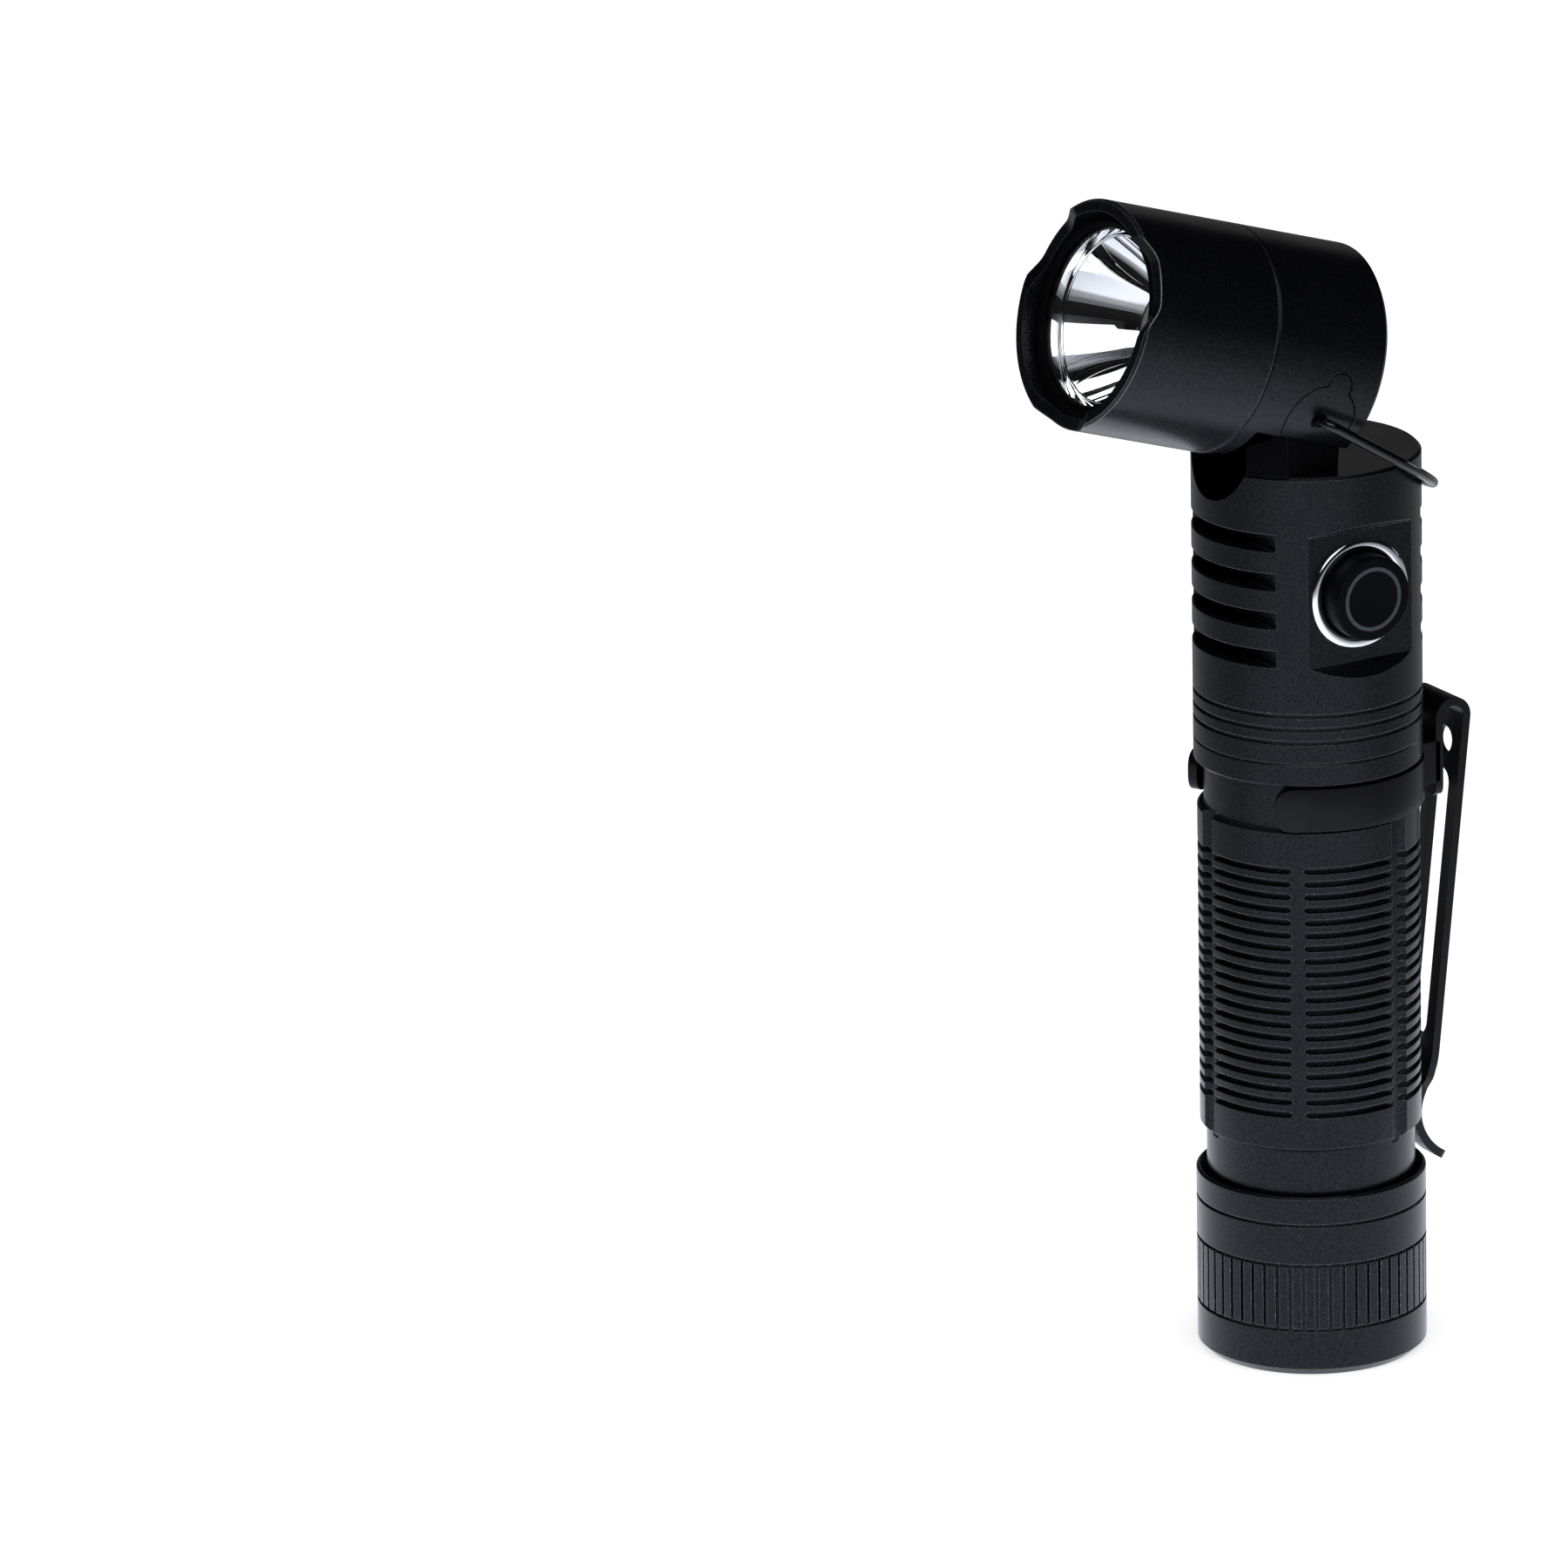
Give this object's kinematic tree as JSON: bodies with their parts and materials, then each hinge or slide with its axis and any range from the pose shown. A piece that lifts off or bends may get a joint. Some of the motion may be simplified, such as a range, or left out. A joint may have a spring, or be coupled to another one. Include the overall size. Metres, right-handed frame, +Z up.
{
  "type": "angle-head flashlight",
  "caption": "Slim cylindrical pocket flashlight with a folding head, ribbed grip, side button, wire bail, pocket clip and screw-off tail cap.",
  "frame": {"origin": "centre of the tail cap's flat end face", "axes": "+Z up along the body axis, -Y towards the side the head folds to, +X towards the button"},
  "size_m": [0.0292, 0.0535, 0.1414],
  "materials": {
    "anodised_shell": "matte black hard anodised, bead blasted",
    "anodised_yoke": "matte black hard anodised",
    "pin_steel": "ground steel",
    "seal_rubber": "smooth black rubber",
    "cell_wrap": null,
    "contact_steel": "plated steel",
    "contact_brass": "brass",
    "circuit_board": "green board",
    "retainer_metal": "plain turned aluminium",
    "switch_plastic": "black plastic",
    "ring_polished": "polished",
    "button_rubber": "smooth black rubber with a printed thin grey ring",
    "heat_sink_brass": "turned brass",
    "led_board_white": "white solder mask",
    "led_phosphor": "yellow phosphor under a clear dome",
    "gasket_white": "white plastic",
    "mirror_bowl": "smooth polished mirror",
    "lens_clear": "flat clear glass",
    "wire_painted": "gloss black painted steel wire",
    "clip_painted": "satin black painted spring steel",
    "spring_plated": "gold-coloured plating"
  },
  "bodies": {
    "body": {"upper_body": "anodised_shell", "hinge_yoke": "anodised_yoke", "hinge_pin": "pin_steel", "neck_seal": "seal_rubber", "battery_tube": "anodised_shell", "tail_seal": "seal_rubber", "battery_cell": "cell_wrap", "battery_button": "contact_steel", "positive_contact": "contact_brass", "driver_board": "circuit_board", "board_retainer": "retainer_metal", "switch_board": "circuit_board", "switch_body": "switch_plastic", "button_ring": "ring_polished"},
    "head": {"rear_head": "anodised_shell", "front_head": "anodised_shell", "head_seal": "seal_rubber", "heat_sink": "heat_sink_brass", "led_board": "led_board_white", "led_emitter": "led_phosphor", "led_gasket": "gasket_white", "reflector": "mirror_bowl", "lens_seal": "seal_rubber", "lens_glass": "lens_clear", "lens_retainer": "seal_rubber", "hinge_plate_right": "anodised_shell", "hinge_plate_left": "anodised_shell"},
    "bail": {"wire_bail": "wire_painted"},
    "button": {"button_cap": "button_rubber"},
    "clip": {"clip_clamp": "clip_painted"},
    "clip_arm": {"clip_arm": "clip_painted"},
    "tail_contact": {"tail_spring": "spring_plated"},
    "tail_cap": {"tail_cap": "anodised_shell", "tail_board": "circuit_board", "tail_retainer": "retainer_metal"}
  },
  "joints": [
    {"name": "head_tilt", "type": "hinge", "parent": "body", "child": "head", "pos_m": [0, -0.00575, 0.1152], "axis": [1, 0, 0], "range_deg": [-72.4, 17.6]},
    {"name": "bail_swing", "type": "hinge", "parent": "body", "child": "bail", "pos_m": [0, -0.00575, 0.1152], "axis": [1, 0, 0], "range_deg": [0, 62]},
    {"name": "button_press", "type": "slide", "parent": "body", "child": "button", "axis": [-1, 0, 0], "range_m": [0, 0.0007], "stiffness_N_per_m": 2000},
    {"name": "clip_swivel", "type": "hinge", "parent": "body", "child": "clip", "pos_m": [0, 0, 0.0687], "axis": [0, 0, 1], "continuous": true},
    {"name": "clip_flex", "type": "hinge", "parent": "clip", "child": "clip_arm", "pos_m": [0, 0.0177, 0.0737], "axis": [1, 0, 0], "range_deg": [0, 5], "stiffness_Nm_per_rad": 1},
    {"name": "tail_cap_travel", "type": "slide", "parent": "body", "child": "tail_contact", "axis": [0, 0, -1], "range_m": [0, 0.00702]},
    {"name": "tail_cap_turn", "type": "hinge", "parent": "tail_contact", "child": "tail_cap", "pos_m": [0, 0, 0.0109], "axis": [0, 0, -1], "range_deg": [0, 1680]}
  ],
  "couplings": [
    {"joint": "tail_cap_travel", "follows": "tail_cap_turn", "m_per_rad": 0.00023873}
  ]
}
